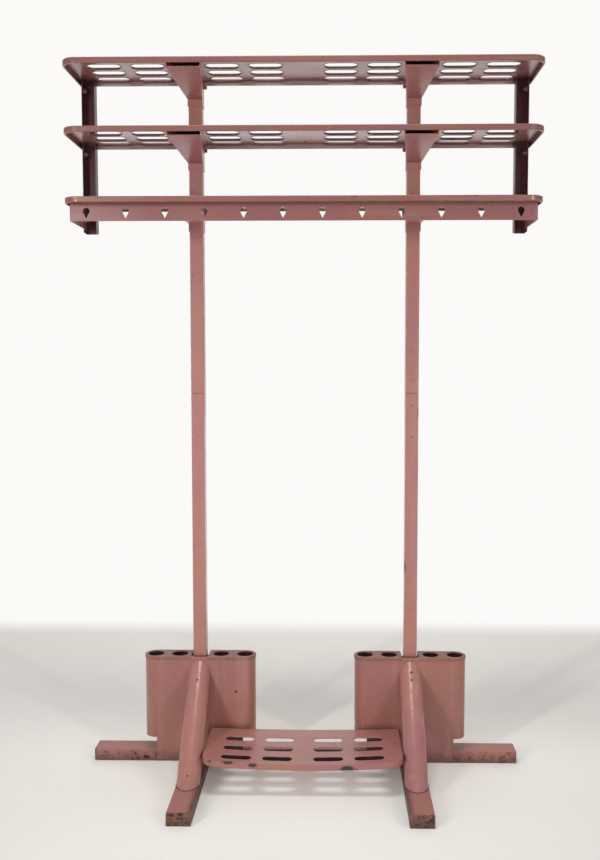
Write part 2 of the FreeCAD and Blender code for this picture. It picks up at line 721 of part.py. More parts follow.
def rack_bolts():
    """Bolts from inside the rack's side lips into the brace tubes."""
    y, z = rack_bolt_place()
    bolts = []
    for side in SIDES:
        seat = side * (RACK_HALF - SHEET)
        tip = side * (POST_X - BRACE_RADIUS + 2 * BRACE_WALL)
        shank = rod(BOLT_RADIUS, (seat, y, z), (tip, y, z))
        head = rod(BOLT_HEAD[0], (seat - side * BOLT_HEAD[1], y, z), (seat, y, z))
        bolts.append(shank.fuse(head))
    return compound(bolts)


# ---------------------------------------------------------------- nodes
def all_parts():
    """Every sub-part of the stand by name."""
    parts = {
        "base_beam": base_beam(),
        "beam_end_plates": beam_end_plates(),
        "foot_end_plates": foot_end_plates(),
        "post_caps": post_caps(),
        "hook_rail": hook_rail(),
        "boot_rack": boot_rack(),
        "boot_rack_spacers": rack_spacers(),
        "boot_rack_bolts": rack_bolts(),
        "bracket_screws": bracket_screws(),
        "cover_bridges": cover_bridges(),
        "tongue_screws": tongue_screws(),
        "spigot_rivets": spigot_rivets(),
    }
    for level, name in enumerate(SHELF_NAMES):
        parts[name + "_shelf"] = shelf(level)
        parts[name + "_stop_bar"] = stop_bar(level)
    for side, hand in zip(SIDES, ("left", "right")):
        parts[hand + "_foot"] = foot(side)
        parts[hand + "_lower_post"] = lower_post(side)
        parts[hand + "_upper_post"] = upper_post(side)
        parts[hand + "_post_spigot"] = spigot(side)
        parts[hand + "_strap"] = strap(side)
        parts[hand + "_shelf_cleats"] = shelf_cleats(side)
        parts[hand + "_strap_bolts"] = strap_bolts(side)
        parts[hand + "_strap_washers"] = strap_washers(side)
        parts[hand + "_strap_nuts"] = strap_nuts(side)
        parts[hand + "_umbrella_holder"] = holder_shell(side)
        parts[hand + "_holder_tray"] = holder_tray(side)
        parts[hand + "_holder_outer_cover"] = holder_cover(side, side)
        parts[hand + "_holder_inner_cover"] = holder_cover(side, -side)
        parts[hand + "_brace"] = brace(side)
        for level, name in enumerate(SHELF_NAMES):
            parts[hand + "_" + name + "_bracket"] = bracket(side, level)
    return parts


def main():
    os.makedirs("parts", exist_ok=True)
    for name, shape in sorted(all_parts().items()):
        if not shape.isValid():
            raise ValueError(name + " is not a valid shape")
        shape.exportStep("parts/" + name + ".step")
        print(name, len(shape.Solids), "solids", round(shape.Volume / 1000, 1), "cm3")


main()
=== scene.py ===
"""Looks of the cloakroom stand: dusty pink semi-gloss enamel over a dark undercoat, chipped along
its edges, with shade painted into its seams, corners and hollows, and the small pieces that finish
it: rims round the slots and holes, slotted screws, rivets, chamfered nuts and dark rings of
painted shade at the seams of the braces."""
import math
import random

import bmesh
import bpy
from mathutils import Euler, Matrix, Vector


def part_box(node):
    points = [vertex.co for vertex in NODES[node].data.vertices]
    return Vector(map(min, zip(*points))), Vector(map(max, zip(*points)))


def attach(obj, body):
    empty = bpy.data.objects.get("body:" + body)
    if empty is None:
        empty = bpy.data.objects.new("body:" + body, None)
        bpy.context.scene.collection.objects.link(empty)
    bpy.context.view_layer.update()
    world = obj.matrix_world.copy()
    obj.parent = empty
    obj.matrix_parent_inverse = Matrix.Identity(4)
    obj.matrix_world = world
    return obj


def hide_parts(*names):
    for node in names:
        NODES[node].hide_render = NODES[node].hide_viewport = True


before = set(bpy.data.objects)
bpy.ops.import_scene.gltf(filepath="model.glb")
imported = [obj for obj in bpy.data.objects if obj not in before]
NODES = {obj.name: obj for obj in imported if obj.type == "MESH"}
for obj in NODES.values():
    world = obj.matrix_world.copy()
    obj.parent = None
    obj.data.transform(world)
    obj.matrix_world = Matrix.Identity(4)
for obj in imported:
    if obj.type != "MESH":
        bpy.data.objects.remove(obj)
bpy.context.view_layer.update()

SIDES = (-1, 1)
HANDS = ("left", "right")
BODY = "root"               # the stand's only body

# measures of the stand in metres
POST_X = 0.300
HOLDER_STRAIGHT = 0.12575   # from the post to where a holder's round end begins
HOLDER_INNER = 0.03075      # half the inside depth of a holder
HOLE_X = (0.059, 0.128)     # umbrella holes, from the post
HOLE_RADIUS = 0.0235
SHEET = 0.0020
SLOT_COLUMNS = (0.0990, 0.2130, 0.4097, 0.5245)
SLOT_ROWS = (-0.1202, -0.0637, -0.0072)
SLOT_HALF = 0.0440
SLOT_RADIUS = 0.0155
BOLT_RADIUS = 0.003
BRACE_RADIUS = 0.031
BRACE_SUM = 0.2832          # height plus depth, the same all along a brace's axis
FOOT_TOP = 0.0337

# measures of the added pieces
COLLAR_DEPTH = 0.0042       # rim of a shelf slot, at its back
COLLAR_FRONT = 0.08         # share of that depth left at its front
COLLAR_WALL = 0.0012
COLLAR_FLARE = 0.0020
HOLE_RIM = 0.0013           # radius of the rolled edge of an umbrella hole
SEAM_RADIUS = 0.0009
SEAM_GAP = 0.0002           # from a brace's skin to the middle of its seam
SHARP_ANGLE = math.radians(35.0)


# ---------------------------------------------------------------- shader helpers
BEVEL_SAMPLES = 6
CREVICE_SAMPLES = 8
SIDE_ON = (0.5, 0.3)        # height of the normal at which a face counts as upright


def new_material(name):
    material = bpy.data.materials.new(name)
    material.use_nodes = True
    nodes = material.node_tree.nodes
    nodes.clear()
    out = nodes.new("ShaderNodeOutputMaterial")
    shader = nodes.new("ShaderNodeBsdfPrincipled")
    material.node_tree.links.new(shader.outputs["BSDF"], out.inputs["Surface"])
    return material, shader


class Graph:
    """Short calls that add and join shader nodes of one material."""

    def __init__(self, material):
        self.nodes = material.node_tree.nodes
        self.links = material.node_tree.links

    def put(self, socket, value):
        if isinstance(value, bpy.types.NodeSocket):
            self.links.new(value, socket)
        else:
            socket.default_value = value

    def math(self, operation, a, b=0.0, clamp=False):
        node = self.nodes.new("ShaderNodeMath")
        node.operation = operation
        node.use_clamp = clamp
        self.put(node.inputs[0], a)
        self.put(node.inputs[1], b)
        return node.outputs[0]

    def times(self, a, b):
        return self.math("MULTIPLY", a, b, clamp=True)

    def either(self, a, b):
        return self.math("MAXIMUM", a, b)

    def coords(self):
        return self.nodes.new("ShaderNodeTexCoord").outputs["Object"]

    def stretched(self, vector, scale):
        node = self.nodes.new("ShaderNodeMapping")
        node.inputs["Scale"].default_value = scale
        self.put(node.inputs["Vector"], vector)
        return node.outputs["Vector"]

    def noise(self, vector, scale, detail=3.0, roughness=0.5):
        node = self.nodes.new("ShaderNodeTexNoise")
        self.put(node.inputs["Vector"], vector)
        node.inputs["Scale"].default_value = scale
        node.inputs["Detail"].default_value = detail
        node.inputs["Roughness"].default_value = roughness
        return node.outputs["Fac"]

    def ramp(self, factor, low, high, from_value=0.0, to_value=1.0):
        """Straight-line remap of low..high to from_value..to_value, held at both ends."""
        node = self.nodes.new("ShaderNodeMapRange")
        self.put(node.inputs["Value"], factor)
        for name, number in (("From Min", low), ("From Max", high),
                             ("To Min", from_value), ("To Max", to_value)):
            self.put(node.inputs[name], number)
        return node.outputs["Result"]

    def mix(self, factor, a, b):
        node = self.nodes.new("ShaderNodeMix")
        node.data_type = "RGBA"
        self.put(node.inputs["Factor"], factor)
        self.put(node.inputs["A"], a)
        self.put(node.inputs["B"], b)
        return node.outputs["Result"]

    def bump(self, height, distance, strength, normal=None):
        node = self.nodes.new("ShaderNodeBump")
        node.inputs["Distance"].default_value = distance
        node.inputs["Strength"].default_value = strength
        self.put(node.inputs["Height"], height)
        if normal is not None:
            self.put(node.inputs["Normal"], normal)
        return node.outputs["Normal"]

    def axis(self, vector, index):
        node = self.nodes.new("ShaderNodeSeparateXYZ")
        self.put(node.inputs["Vector"], vector)
        return node.outputs[index]

    def facing(self, direction):
        """1 where the surface faces a fixed direction of the object, 0 away from it."""
        dot = self.nodes.new("ShaderNodeVectorMath")
        dot.operation = "DOT_PRODUCT"
        geometry = self.nodes.new("ShaderNodeNewGeometry")
        self.put(dot.inputs[0], geometry.outputs["True Normal"])
        self.put(dot.inputs[1], direction)
        return dot.outputs["Value"]

    def side_on(self):
        """1 on upright faces, 0 on level ones."""
        level = self.math("ABSOLUTE", self.facing((0.0, 0.0, 1.0)))
        return self.ramp(level, *SIDE_ON)

    def across(self, vector):
        """Distance from the stand's middle plane."""
        return self.math("ABSOLUTE", self.axis(vector, 0))

    def rounded(self, radius):
        """Normal as if every edge were rounded to the radius."""
        bevel = self.nodes.new("ShaderNodeBevel")
        bevel.samples = BEVEL_SAMPLES
        bevel.inputs["Radius"].default_value = radius
        return bevel.outputs["Normal"]

    def edge_mask(self, radius):
        """1 on an edge, 0 on the flat."""
        dot = self.nodes.new("ShaderNodeVectorMath")
        dot.operation = "DOT_PRODUCT"
        geometry = self.nodes.new("ShaderNodeNewGeometry")
        self.put(dot.inputs[0], self.rounded(radius))
        self.put(dot.inputs[1], geometry.outputs["Normal"])
        return self.ramp(dot.outputs["Value"], 0.995, 0.85)

    def crevice_shade(self, distance):
        """1 deep in a seam or inner corner, 0 in the open; from ambient occlusion, for painted
        shade.
        """
        node = self.nodes.new("ShaderNodeAmbientOcclusion")
        node.samples = CREVICE_SAMPLES
        node.inputs["Distance"].default_value = distance
        return self.ramp(node.outputs["AO"], 0.62, 0.15)

    def spots(self, vector, places, squeeze):
        """1 inside ragged patches about the given places; each is x, y, z, radius.

        squeeze below 1 along an axis draws the patches out along it."""
        wobble = self.ramp(self.noise(vector, 260.0, 6.0, 0.8), 0.3, 0.7, -0.7, 0.7)
        vector = self.stretched(vector, squeeze)
        found = 0.0
        for x, y, z, radius in places:
            apart = self.nodes.new("ShaderNodeVectorMath")
            apart.operation = "DISTANCE"
            self.put(apart.inputs[0], vector)
            self.put(apart.inputs[1], (x * squeeze[0], y * squeeze[1], z * squeeze[2]))
            near = self.math("DIVIDE", apart.outputs["Value"], radius)
            near = self.ramp(self.math("ADD", near, wobble), 1.0, 0.9)
            found = self.either(near, found)
        return found


def srgb(red, green, blue):
    """Linear colour with alpha from 0..255 display values."""
    def linear(value):
        value /= 255.0
        return value / 12.92 if value <= 0.04045 else ((value + 0.055) / 1.055) ** 2.4
    return (linear(red), linear(green), linear(blue), 1.0)


# ---------------------------------------------------------------- materials
PINK = (168, 116, 109)
HOLDER_PINK = (158, 105, 96)
# darker copies of the pink for the high shelves and hook rail: painted shade
SHADED_SHELF_PINK = (140, 93, 88)
SHADED_RAIL_PINK = (154, 103, 99)
BRACKET_PINK = (172, 113, 113)
STRAP_PINK = (150, 101, 97)
# pale grey copy of the pink for the stop bars: painted reflection of the white room
LIT_BAR_PINK = (186, 160, 153)
RACK_PINK = (167, 114, 107)
LID_PINK = (140, 95, 87)
FRAME_PINK = (167, 114, 105)
END_PINK = (132, 95, 84)
UNDERCOAT = srgb(58, 51, 45)
# dark of the dirt specks, and of the painted shade in seams and inner corners
GRIME_AND_SHADE = srgb(58, 36, 34)
# painted shade inside the umbrella holders and under the boot rack
DEEP_SHADE = srgb(52, 28, 30)
SLOT_SHADE = srgb(92, 58, 60)
STRAP_SHADE = srgb(78, 43, 47)
FLOOR_DIRT = srgb(74, 58, 50)
DUST = srgb(202, 178, 168)

DRAW = random.Random(1)


def chips(count, radii, place):
    """Chips at random, each x, y, z and radius in metres; place draws one x, y, z."""
    return tuple((*place(), DRAW.uniform(*radii)) for _ in range(count))


def on_front(node):
    """Draws places on the front of a node's box."""
    (left, front, bottom), (right, _, top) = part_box(node)
    return lambda: (DRAW.uniform(left, right), front, DRAW.uniform(bottom, top))


def on_front_edges(node):
    """Draws places on the two upright front edges of a node's box."""
    (left, front, bottom), (right, _, top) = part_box(node)
    return lambda: (DRAW.choice((left, right)), front, DRAW.uniform(bottom, top))


def on_top_edges(node):
    """Draws places on the upper side edges of a node's box."""
    (left, front, _), (right, back, top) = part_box(node)
    return lambda: (DRAW.choice((left, right)), DRAW.uniform(front, back), top)


def on_brace(node):
    """Draws places down the front of a brace, which is the diagonal of its box."""
    (left, front, bottom), (right, back, top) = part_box(node)

    def place():
        share = DRAW.random()
        return ((left + right) / 2.0, front + share * (back - front),
                bottom + share * (top - bottom))
    return place


# the larger chips, scattered over the nodes that show them
RACK_CHIPS = chips(8, (0.0025, 0.0085), on_front("boot_rack"))
FRAME_CHIPS = chips(8, (0.0035, 0.0080), on_front("base_beam"))
BODY_CHIPS = chips(1, (0.0035, 0.0045), on_front("left_umbrella_holder"))
for hand in HANDS:
    FRAME_CHIPS += chips(3, (0.0045, 0.0060), on_front(f"{hand}_foot"))
    FRAME_CHIPS += chips(2, (0.0035, 0.0050), on_top_edges(f"{hand}_foot"))
    BODY_CHIPS += chips(2, (0.0022, 0.0045), on_brace(f"{hand}_brace"))
SHELF_CHIPS = chips(2, (0.0022, 0.0030), on_front("lower_shelf"))
POST_CHIPS = chips(2, (0.0045, 0.0055), on_front_edges("right_lower_post"))


# where the masks below fade from 0 to 1 or back, in metres
LIP_BACK = (-0.174, -0.170)
SHELF_ENDS = (0.612, 0.608)
BORE_SKIN = (HOLDER_INNER + 0.0010, HOLDER_INNER + 0.0004)
RACK_SPAN = (0.285, 0.265)
RACK_REAR = (-0.022, -0.028)
RACK_HEIGHT = (0.115, 0.085)
STRAP_SIDE = (0.6132, 0.6126)


def slot_walls(g, place):
    """1 on the cut edges inside a shelf, which are painted dark as shade."""
    behind_lip = g.ramp(g.axis(place, 1), *LIP_BACK)
    inside = g.times(behind_lip, g.ramp(g.across(place), *SHELF_ENDS))
    return g.times(g.side_on(), inside)


def holder_bore(g, place):
    """1 on the inner walls of an umbrella holder, which are painted dark as shade."""
    along = g.math("ABSOLUTE", g.math("SUBTRACT", g.across(place), POST_X))
    past = g.math("MAXIMUM", g.math("SUBTRACT", along, HOLDER_STRAIGHT), 0.0)
    deep = g.axis(place, 1)
    reach = g.math("SQRT", g.math("ADD", g.math("MULTIPLY", past, past),
                                  g.math("MULTIPLY", deep, deep)))
    return g.ramp(reach, *BORE_SKIN)


def under_rack(g, place):
    """1 low down between the braces, where the boot rack's shadow is painted."""
    near = g.ramp(g.across(place), *RACK_SPAN)
    near = g.times(near, g.ramp(g.axis(place, 1), *RACK_REAR))
    return g.times(near, g.ramp(g.axis(place, 2), *RACK_HEIGHT))


def strap_hollow(g, place):
    """1 everywhere on a strap but its outer side and its back; there shade is painted dark."""
    inner = g.ramp(g.across(place), *STRAP_SIDE)
    return g.times(inner, g.ramp(g.facing((0.0, 1.0, 0.0)), *SIDE_ON))


def tinted(g, place, colour, streaks):
    """Faded enamel: warm and cool clouds, a fine mottle, dusty streaks and tiny dark specks."""
    red, green, blue = colour
    warm = srgb(red + 3, green + 3, blue - 4)
    cool = srgb(red - 4, green - 5, blue + 2)
    tone = g.mix(g.ramp(g.noise(place, 4.5, 4.0, 0.6), 0.35, 0.65), warm, cool)
    fine = g.ramp(g.noise(place, 34.0, 4.0, 0.65), 0.35, 0.7)
    tone = g.mix(g.times(fine, 0.30), tone, srgb(red * 0.93, green * 0.90, blue * 0.90))
    streak = g.ramp(g.noise(g.stretched(place, streaks), 1.0, 3.0, 0.6), 0.55, 0.75)
    tone = g.mix(g.times(streak, 0.16), tone, DUST)
    speck = g.ramp(g.noise(place, 700.0, 2.0, 0.5), 0.66, 0.72)
    return g.mix(g.times(speck, 0.20), tone, GRIME_AND_SHADE)


def floor_splash(g, place, low):
    """1 where floor dirt clings, up to a ragged line about the height low."""
    wander = g.ramp(g.noise(place, 60.0, 5.0, 0.7), 0.3, 0.7, -0.5 * low, 0.5 * low)
    cling = g.ramp(g.math("ADD", g.axis(place, 2), wander), low, 0.2 * low)
    upright = g.ramp(g.facing((0.0, 0.0, 1.0)), 0.7, 0.3, 0.25, 1.0)
    return g.times(cling, upright)


def chipped(g, place, edge, wear, flakes, chips, squeeze):
    """1 where the enamel is gone: along edges, in flakes on upright faces, in the larger chips."""
    ragged = g.ramp(g.noise(place, 75.0, 6.0, 0.78), 0.70 - 0.16 * wear, 0.72 - 0.16 * wear)
    gate = g.ramp(g.noise(place, 8.0, 2.0, 0.5), 0.56 - 0.18 * wear, 0.62 - 0.18 * wear)
    chip = g.times(g.times(edge, ragged), gate)
    if flakes > 0.0:
        flake = g.ramp(g.noise(place, 85.0, 7.0, 0.8), 0.66 - 0.11 * flakes, 0.67 - 0.11 * flakes)
        chip = g.either(chip, g.times(flake, g.side_on()))
    if chips:
        chip = g.either(chip, g.spots(place, chips, squeeze))
    return chip


def paint_material(name, colour, wear=0.3, shade_depth=0.6, edge_round=0.0012, chips=(),
                   squeeze=(1.0, 1.0, 1.0), low=0.0, rings=False, dark=(), shade_colour=DEEP_SHADE,
                   rough=0.24, flakes=0.0, streaks=(26.0, 26.0, 1.6), gleam=0.5):
    """Enamel on sheet steel: patchy tint, orange peel, painted shade in seams and inner corners,
    chips and rubbed edges.

    wear is how much of each edge is chipped, flakes how much of each upright face, grime how
    dark the painted shade in the seams is, low the height up to which floor dirt clings, rings
    whether turning marks show along a tube, and dark the masks of surfaces darkened into painted
    shade, in the colour bare."""
    material, shader = new_material(name)
    g = Graph(material)
    place = g.coords()
    # painted shade: seams and inner corners darkened by ambient occlusion
    seam = g.times(g.crevice_shade(0.012), shade_depth)
    tone = g.mix(seam, tinted(g, place, colour, streaks), GRIME_AND_SHADE)
    if low > 0.0:
        tone = g.mix(g.times(floor_splash(g, place, low), 0.62), tone, FLOOR_DIRT)
    # painted shade: each mask in dark darkens its faces toward the shade colour
    for mask in dark:
        tone = g.mix(g.times(mask(g, place), 0.9), tone, shade_colour)
    edge = g.edge_mask(0.0022 + 0.0018 * wear * wear)
    rub = g.times(edge, g.ramp(g.noise(place, 110.0, 4.0, 0.7), 0.45, 0.75))
    tone = g.mix(g.times(rub, min(0.3, wear)), tone, DUST)
    chip = chipped(g, place, edge, wear, flakes, chips, squeeze)
    g.put(shader.inputs["Base Color"], g.mix(chip, tone, UNDERCOAT))

    gloss = g.ramp(g.noise(place, 12.0, 4.0, 0.6), 0.3, 0.7, rough, rough + 0.12)
    gloss = g.math("ADD", gloss, g.times(g.either(chip, seam), 0.4), clamp=True)
    g.put(shader.inputs["Roughness"], gloss)
    shader.inputs["Specular IOR Level"].default_value = gleam
    wave = g.bump(g.noise(place, 9.0, 2.0, 0.4), 0.003, 0.30, g.rounded(edge_round))
    if rings:
        bands = g.noise(g.stretched(place, (2.0, 30.0, 30.0)), 1.0, 2.0, 0.5)
        wave = g.bump(bands, 0.002, 0.35, wave)
    peel = g.bump(g.noise(place, 330.0, 2.0, 0.5), 0.0004, 0.22, wave)
    g.put(shader.inputs["Normal"], g.bump(g.math("SUBTRACT", 1.0, chip), 0.0004, 0.7, peel))
    return material


def metal_material(name, light, dark, metallic):
    """Tarnished zinc, half hidden by old paint."""
    material, shader = new_material(name)
    g = Graph(material)
    place = g.coords()
    patch = g.ramp(g.noise(place, 160.0, 4.0, 0.7), 0.35, 0.65)
    tone = g.mix(patch, light, dark)
    # painted shade in the crevices about each fastener
    tone = g.mix(g.times(g.crevice_shade(0.003), 0.8), tone, GRIME_AND_SHADE)
    g.put(shader.inputs["Base Color"], tone)
    g.put(shader.inputs["Roughness"], g.ramp(patch, 0.0, 1.0, 0.32, 0.58))
    shader.inputs["Metallic"].default_value = metallic
    g.put(shader.inputs["Normal"], g.bump(g.noise(place, 700.0, 2.0, 0.5), 0.0003, 0.4))
    return material


def gap_shade_material(name):
    """Near-black, for the painted shade in the open seams at the braces' feet."""
    material, shader = new_material(name)
    g = Graph(material)
    patch = g.ramp(g.noise(g.coords(), 40.0, 4.0, 0.6), 0.3, 0.7)
    g.put(shader.inputs["Base Color"], g.mix(patch, srgb(58, 32, 30), srgb(36, 22, 22)))
    shader.inputs["Roughness"].default_value = 0.8
    return material


WALL_COLOUR = srgb(251, 250, 248)
BLACK = srgb(0, 0, 0)
FLOOR_SIDE = (2.2, 4.2)     # distances over which the floor fades into the white room
FLOOR_BACK = (1.24, 1.44)
FLOOR_FRONT = (-2.6, -4.6)
FLOOR_GLOW = 0.09           # light that the floor gives off where it hasn't faded


def floor_material():
    """Pale painted screed with a faint cloudiness, fading into the white room all round."""
    material, shader = new_material("floor_pale")
    g = Graph(material)
    place = g.coords()
    cloud = g.ramp(g.noise(place, 1.1, 4.0, 0.55), 0.3, 0.7)
    tone = g.mix(cloud, srgb(236, 232, 226), srgb(241, 238, 233))
    shader.inputs["Roughness"].default_value = 0.85
    shader.inputs["Specular IOR Level"].default_value = 0.0
    depth = g.axis(place, 1)
    fade = g.math("MAXIMUM", g.ramp(g.across(place), *FLOOR_SIDE), g.ramp(depth, *FLOOR_BACK))
    fade = g.math("MAXIMUM", fade, g.ramp(depth, *FLOOR_FRONT))
    g.put(shader.inputs["Base Color"], g.mix(fade, tone, BLACK))
    shader.inputs["Emission Color"].default_value = WALL_COLOUR
    g.put(shader.inputs["Emission Strength"], g.ramp(fade, 0.0, 1.0, FLOOR_GLOW, 1.0))
    g.put(shader.inputs["Normal"], g.bump(g.noise(place, 30.0, 4.0, 0.6), 0.002, 0.15))
    return material


def dress(piece, material):
    """Give a piece one material only."""
    mesh = piece.data
    mesh.materials.clear()
    mesh.materials.append(material)


PAINT = paint_material("paint_pink", PINK, chips=POST_CHIPS, squeeze=(1.6, 1.0, 0.35), low=0.02)
HOLDER_PAINT = paint_material("paint_holder", HOLDER_PINK, wear=0.15, chips=BODY_CHIPS,
                              low=0.035, shade_depth=0.75, dark=(holder_bore, under_rack))
LID_PAINT = paint_material("paint_lid", LID_PINK, wear=0.5, shade_depth=0.9, rough=0.42, gleam=0.3)
BRACE_PAINT = paint_material("paint_brace", PINK, wear=0.05, chips=BODY_CHIPS, rings=True,
                             shade_depth=0.8, rough=0.16)
SHELF_PAINT = paint_material("paint_shelf", SHADED_SHELF_PINK, wear=0.35, shade_depth=0.35,
                             chips=SHELF_CHIPS, squeeze=(0.6, 1.0, 1.2), dark=(slot_walls,),
                             shade_colour=SLOT_SHADE, streaks=(1.6, 26.0, 26.0))
BRACKET_PAINT = paint_material("paint_bracket", BRACKET_PINK, shade_depth=0.5)
RAIL_PAINT = paint_material("paint_rail", SHADED_RAIL_PINK, shade_depth=0.3, streaks=(1.6, 26.0, 40.0))
STRAP_PAINT = paint_material("paint_strap", STRAP_PINK, shade_depth=0.8, gleam=0.2,
                             dark=(strap_hollow,), shade_colour=STRAP_SHADE)
# the stop bars take the full painted seam shade, dark above the shelves
BAR_PAINT = paint_material("paint_bar", LIT_BAR_PINK, wear=0.2, shade_depth=1.0)
RACK_PAINT = paint_material("paint_rack", RACK_PINK, wear=0.7, edge_round=0.004,
                            chips=RACK_CHIPS, squeeze=(0.45, 1.0, 1.0),
                            streaks=(1.6, 26.0, 26.0))
FRAME_PAINT = paint_material("paint_floor_frame", FRAME_PINK, wear=1.0, shade_depth=0.8,
                             chips=FRAME_CHIPS, squeeze=(0.7, 1.0, 1.4), low=0.032,
                             dark=(under_rack,), rough=0.45, flakes=0.8, gleam=0.3,
                             streaks=(1.6, 1.6, 40.0))
END_PAINT = paint_material("paint_frame_ends", END_PINK, wear=1.0, shade_depth=0.8,
                           chips=FRAME_CHIPS, squeeze=(0.7, 1.0, 1.4), low=0.032, rough=0.5,
                           flakes=1.0, gleam=0.2)
METAL = metal_material("fastener_metal", light=srgb(150, 128, 122), dark=srgb(92, 72, 70),
                       metallic=0.5)
GAP_SHADE = gap_shade_material("gap_shade_dark")

FINISHES = (("_strap", STRAP_PAINT), ("shelf_cleats", STRAP_PAINT), ("_shelf", SHELF_PAINT),
            ("_stop_bar", BAR_PAINT), ("_bracket", BRACKET_PAINT), ("hook_rail", RAIL_PAINT),
            ("_foot", FRAME_PAINT), ("base_beam", FRAME_PAINT), ("end_plates", END_PAINT),
            ("boot_rack", RACK_PAINT), ("_brace", BRACE_PAINT), ("_cover", LID_PAINT),
            ("cover_bridges", HOLDER_PAINT), ("_umbrella_holder", HOLDER_PAINT),
            ("_holder_tray", HOLDER_PAINT))
for node, piece in NODES.items():
    matches = [finish for ending, finish in FINISHES if node.endswith(ending)]
    dress(piece, matches[0] if matches else PAINT)


# ---------------------------------------------------------------- mesh helpers
def finish_piece(name, mesh, material, stands_for=()):
    """Object from a mesh, riding on the stand, in place of CAD nodes where it stands for any."""
    piece = bpy.data.objects.new(name, mesh)
    bpy.context.scene.collection.objects.link(piece)
    mesh.materials.append(material)
    for face in mesh.polygons:
        face.use_smooth = True
    mesh.set_sharp_from_angle(angle=SHARP_ANGLE)
    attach(piece, BODY)
    if stands_for:
        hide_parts(*stands_for)


def mesh_from(name, build):
    """Mesh that a function fills through bmesh."""
    mesh = bpy.data.meshes.new(name)
    work = bmesh.new()
    build(work)
    bmesh.ops.recalc_face_normals(work, faces=work.faces)
    work.to_mesh(mesh)
    work.free()
    return mesh


def circle(turns, twist=0.0):
    """Angles of evenly spaced points round a circle."""
    return [math.tau * k / turns + twist for k in range(turns)]


def join_rings(work, rings, turns):
    """Faces between neighbouring closed rings; a ring of one point closes as a fan."""
    for first, second in zip(rings, rings[1:]):
        for k in range(turns):
            after = (k + 1) % turns
            corners = [first[k % len(first)], first[after % len(first)],
                       second[after % len(second)], second[k % len(second)]]
            corners = list(dict.fromkeys(corners))
            if len(corners) > 2:
                work.faces.new(corners)


def add_turned(work, profile, place, turns, twist=0.0):
    """Round or many-sided piece about local Z; profile is (radius, height) along its outline."""
    rings = []
    for radius, height in profile:
        angles = circle(turns, twist) if radius > 0.0 else (0.0,)
        rings.append([work.verts.new(place @ Vector((radius * math.cos(a),
                                                     radius * math.sin(a), height)))
                      for a in angles])
    join_rings(work, rings, turns)


def seat(centre, direction):
    """Frame at a centre whose Z runs along a direction."""
    turn = Vector(direction).to_track_quat("Z", "Y").to_matrix().to_4x4()
    return Matrix.Translation(centre) @ turn


def islands(node):
    """Low and high corner of each separate solid of a CAD node."""
    work = bmesh.new()
    work.from_mesh(NODES[node].data)
    bmesh.ops.remove_doubles(work, verts=work.verts, dist=1e-6)
    left = set(work.verts)
    boxes = []
    while left:
        stack = [left.pop()]
        points = [stack[0].co.copy()]
        while stack:
            for edge in stack.pop().link_edges:
                for other in edge.verts:
                    if other in left:
                        left.remove(other)
                        stack.append(other)
                        points.append(other.co.copy())
        low = Vector([min(point[k] for point in points) for k in range(3)])
        high = Vector([max(point[k] for point in points) for k in range(3)])
        boxes.append((low, high))
    work.free()
    return sorted(boxes, key=lambda box: tuple(round(value, 5) for value in box[0]))


# ---------------------------------------------------------------- fasteners
SLOT_SHARE = 0.16           # half width of a screwdriver slot over the head's radius
THREAD_PITCH = 0.001
HEAD_TURN = (0.7, 1.9)      # turn of the first screw's slot and step to the next


def add_slotted_head(work, radius, height, place, turn):
    """Pan head with a screwdriver slot, standing on local Z = 0."""
    half_slot = SLOT_SHARE * radius
    depth = 0.5 * height
    half_rows = [SLOT_SHARE - 0.001, SLOT_SHARE, 0.5, 0.8, 1.0]
    rows = [-row for row in reversed(half_rows)] + half_rows
    spin = place @ Matrix.Rotation(turn, 4, "Z")

    def crown(x, y):
        share = min(1.0, math.hypot(x, y) / radius)
        return height * (1.0 - 0.45 * share ** 4)

    columns = 10
    grid = []
    for row in rows:
        y = row * radius * 0.96
        reach = math.sqrt(max(radius * radius - y * y, 1e-12))
        line = []
        for k in range(columns + 1):
            x = reach * math.sin(math.pi * (k / columns - 0.5))
            sunk = abs(y) < half_slot
            level = height - depth if sunk else crown(x, y)
            line.append(work.verts.new(spin @ Vector((x, y, level))))
        grid.append(line)
    for first, second in zip(grid, grid[1:]):
        for k in range(columns):
            work.faces.new([first[k], first[k + 1], second[k + 1], second[k]])
    rim = grid[0] + [line[-1] for line in grid[1:-1]] + grid[-1][::-1]
    rim += [line[0] for line in grid[-2:0:-1]]
    foot = [work.verts.new(spin @ Vector((*(spin.inverted() @ vert.co).xy, 0.0))) for vert in rim]
    for k in range(len(rim)):
        after = (k + 1) % len(rim)
        work.faces.new([rim[k], rim[after], foot[after], foot[k]])
    work.faces.new(foot)


def screw_heads(name, node, axis, outward):
    """Slotted heads in place of a node of plain ones; outward gives each head's direction."""
    def build(work):
        for index, (low, high) in enumerate(islands(node)):
            centre = (low + high) / 2
            direction = outward(centre)
            height = high[axis] - low[axis]
            others = [k for k in range(3) if k != axis]
            radius = (high[others[0]] - low[others[0]]) / 2
            base = centre - Vector(direction) * height / 2
            turn = HEAD_TURN[0] + HEAD_TURN[1] * index
            add_slotted_head(work, radius, height, seat(base, direction), turn)
    finish_piece(name, mesh_from(name, build), METAL, (node,))


def post_side(centre):
    """Away from the nearer post, along X."""
    post_x = math.copysign(POST_X, centre.x)
    return (math.copysign(1.0, centre.x - post_x), 0.0, 0.0)


def thread(radius, start, end):
    """Profile of a short screw thread."""
    count = max(2, round((end - start) / THREAD_PITCH))
    step = (end - start) / count
    points = []
    for k in range(count):
        points.append((radius * 0.88, start + k * step))
        points.append((radius, start + (k + 0.5) * step))
    points.append((radius * 0.86, end))
    points.append((0.0, end))
    return points


